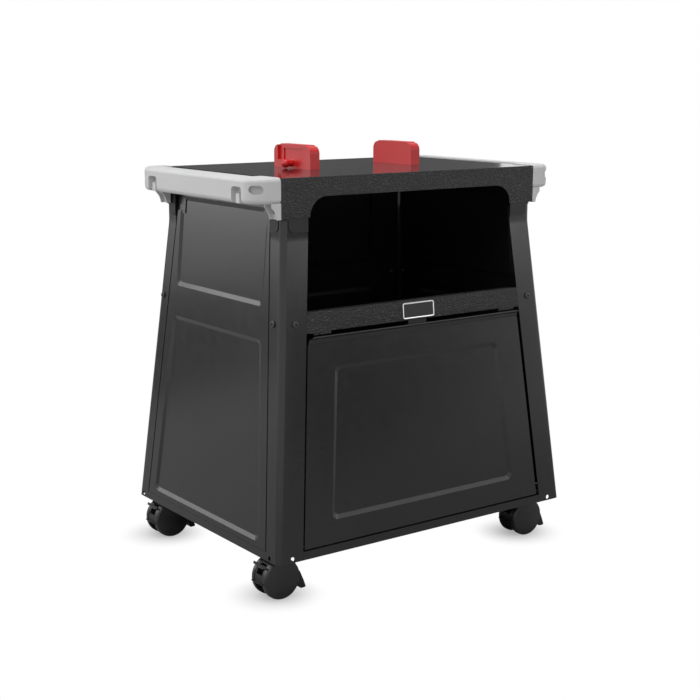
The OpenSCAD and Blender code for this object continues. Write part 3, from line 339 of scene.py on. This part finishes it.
# Door: pressed sheet whose top flares out to a lip with a rolled edge, a channel behind
# it, a magnetic catch of moulded plastic and two steel hinge pins, coloured black as
# painted shade for the dark gap at the door's lower corners.
door_field = {**panel_fields, "heights": (0.05, 0.445)}
dress("drop_door", "door_panel", satin_paint, fold=door_field)
dress("door_back_channel", "door_stiffener", satin_paint)
dark_plastic = Finish("black_moulded_plastic", Specular_IOR_Level=0.4)
dark_plastic.mottle(shades=((0.009, 0.009, 0.009), (0.014, 0.014, 0.015)),
                    patches=(50, 3), dull=(0.4, 0.12), spots=(120, 3))
dark_plastic.bump(dark_plastic.noise(1500, 2), depth=0.00008, strength=0.3)
dress("magnet_catch", "door_catch", dark_plastic, edge=0.001)
# The pins' black is painted shade: it keeps the gap at the door's lower corners dark.
dress("hinge_pins", "door_hinge_pins", screw_and_gap_shade_black, edge=0.0003)


# Fascias and ledge: the front fascia with the window's arch, the rear one, and the strip
# across the front below the window, of 1.5 and 1.2 mm sheet. Their coat has a fine
# leather grain of swollen cells between creases, with painted shade in the creases.
grained_paint = Finish("leather_grain_coat", Specular_IOR_Level=0.5)
cells_in_a_metre = (130, 130, 210)
spread = grained_paint.vector("MULTIPLY", grained_paint.place, cells_in_a_metre)
warp = grained_paint.noise(0.5, 3.0, 0.6, spread, out="Color")
spread = grained_paint.vector("ADD", spread, grained_paint.vector("SCALE", warp, Scale=3.0))
cells = grained_paint.add("ShaderNodeTexVoronoi", {"feature": "DISTANCE_TO_EDGE"},
                          Vector=spread, Scale=1.0, Randomness=0.95)
swell = grained_paint.ramp(cells, 0.0, 0.3)
height = 0.8 * swell + 0.5 * grained_paint.noise(0.8, 3, 0.65, spread)
# Painted shade: the creases get a darker colour than the crowns of the cells.
crease_shade, crown = (0.007, 0.007, 0.0075), (0.022, 0.022, 0.023)
grained_paint.set(Base_Color=grained_paint.blend(swell, crease_shade, crown),
                  Roughness=0.5 - 0.16 * swell)
grained_paint.bump(height, depth=0.0028, strength=1.0)
for name, solid in (("front_apron", "front_fascia"), ("rear_apron", "rear_fascia"),
                    ("window_ledge", "ledge_strip")):
    dress(name, solid, grained_paint)


# Badge: a bare black plate in a raised bright metal frame, clipped to the ledge. The
# plate's face lies 0.6 mm behind the frame's.
badge_face = Finish("badge_black", Specular_IOR_Level=0.5)
badge_face.mottle(shades=((0.006, 0.006, 0.0065), (0.01, 0.01, 0.011)),
                  patches=(120, 3), dull=(0.25, 0.08), spots=(200, 3))
bright_frame = Finish("badge_bright_frame", Metallic=1.0)
bright_frame.mottle(shades=((0.72, 0.72, 0.73), (0.85, 0.85, 0.86)),
                    patches=(300, 3), dull=(0.3, 0.12), spots=(240, 3))
rim_width, rim_slope, face_depth = 0.0016, 0.0004, 0.0006
badge = dress("bare_badge", "badge_plate", bright_frame)
badge.data.materials.append(badge_face.material)
shell = bmesh.new()
shell.from_mesh(badge.data)
front = max(shell.faces, key=lambda f: f.calc_area() * (-f.normal.y))
bmesh.ops.inset_region(shell, faces=[front], thickness=rim_width, depth=0)
bmesh.ops.inset_region(shell, faces=[front], thickness=rim_slope, depth=-face_depth)
front.material_index = 1
shell.to_mesh(badge.data)


# Worktop: a tray of smooth, glossy coated sheet, folded down at its edges, with two hat
# channels below it that stiffen it under the locators.
top_paint = Finish("smooth_worktop_coat", Specular_IOR_Level=0.5)
top_paint.mottle(shades=((0.011, 0.0112, 0.012), (0.015, 0.0152, 0.016)),
                 patches=(9, 3), dull=(0.09, 0.05), spots=(30, 4))
top_paint.bump(top_paint.noise(500, 2), depth=0.00003, strength=0.15)
dress("worktop_tray", "top_panel", top_paint)
dress("hat_channels", "top_braces", satin_paint)


# Side rails: light grey moulded plastic, each with a finger slot, two hook pockets and
# two ears, screwed to the legs' upper ends.
rail_plastic = Finish("light_grey_plastic", Specular_IOR_Level=0.5)
rail_plastic.mottle(shades=((0.62, 0.62, 0.625), (0.67, 0.67, 0.675)),
                    patches=(18, 3), dull=(0.42, 0.1), spots=(60, 3))
rail_plastic.bump(rail_plastic.noise(1300, 2), depth=0.0001, strength=0.3)
for hand in ("left", "right"):
    dress(hand + "_grab_rail", hand + "_side_rail", rail_plastic, edge=0.0008)


# Locators and lock knobs: red moulded plastic. Each locator is bolted to the worktop,
# and its knob pulls out against a spring.
red_plastic = Finish("red_moulded_plastic", Specular_IOR_Level=0.5)
red_plastic.mottle(shades=((0.62, 0.012, 0.014), (0.7, 0.018, 0.02)),
                   patches=(25, 3), dull=(0.32, 0.1), spots=(80, 3))
red_plastic.bump(red_plastic.noise(1300, 2), depth=0.00008, strength=0.25)
for hand in ("left", "right"):
    dress(hand + "_grill_locator", hand + "_locator", red_plastic, edge=0.0016)
    dress(hand + "_pull_knob", hand + "_lock_knob", red_plastic, edge=0.0005)


# Casters: twin nylon wheels on one axle, one each side of a moulded housing with a brake
# pedal. The housing swivels under a zinc-plated steel plate, screwed to the base pan.
zinc = Finish("zinc_plated_steel", Metallic=1.0)
zinc.mottle(shades=((0.42, 0.43, 0.43), (0.62, 0.62, 0.6)),
            patches=(220, 4), dull=(0.28, 0.2), spots=(160, 4))
zinc.bump(zinc.noise(900, 3), depth=0.00006, strength=0.3)
wheel_plastic = Finish("caster_wheel_nylon", Specular_IOR_Level=0.5)
wheel_plastic.mottle(shades=((0.011, 0.011, 0.012), (0.016, 0.016, 0.017)),
                     patches=(40, 3), dull=(0.3, 0.12), spots=(150, 3))
wheel_plastic.bump(wheel_plastic.noise(1200, 2), depth=0.00008, strength=0.3)
for corner in corners:
    stem = corner + "_caster_"
    dress(stem + "plate", stem + "mount", zinc)
    dress(stem + "pin", stem + "axle", zinc)
    dress(stem + "body", stem + "housing", dark_plastic, edge=0.0007)
    dress(stem + "brake", stem + "pedal", dark_plastic, edge=0.0006)
    for side in ("front_", "rear_"):
        dress(stem + side + "roller", stem + side + "wheel", wheel_plastic,
              edge=0.0007)
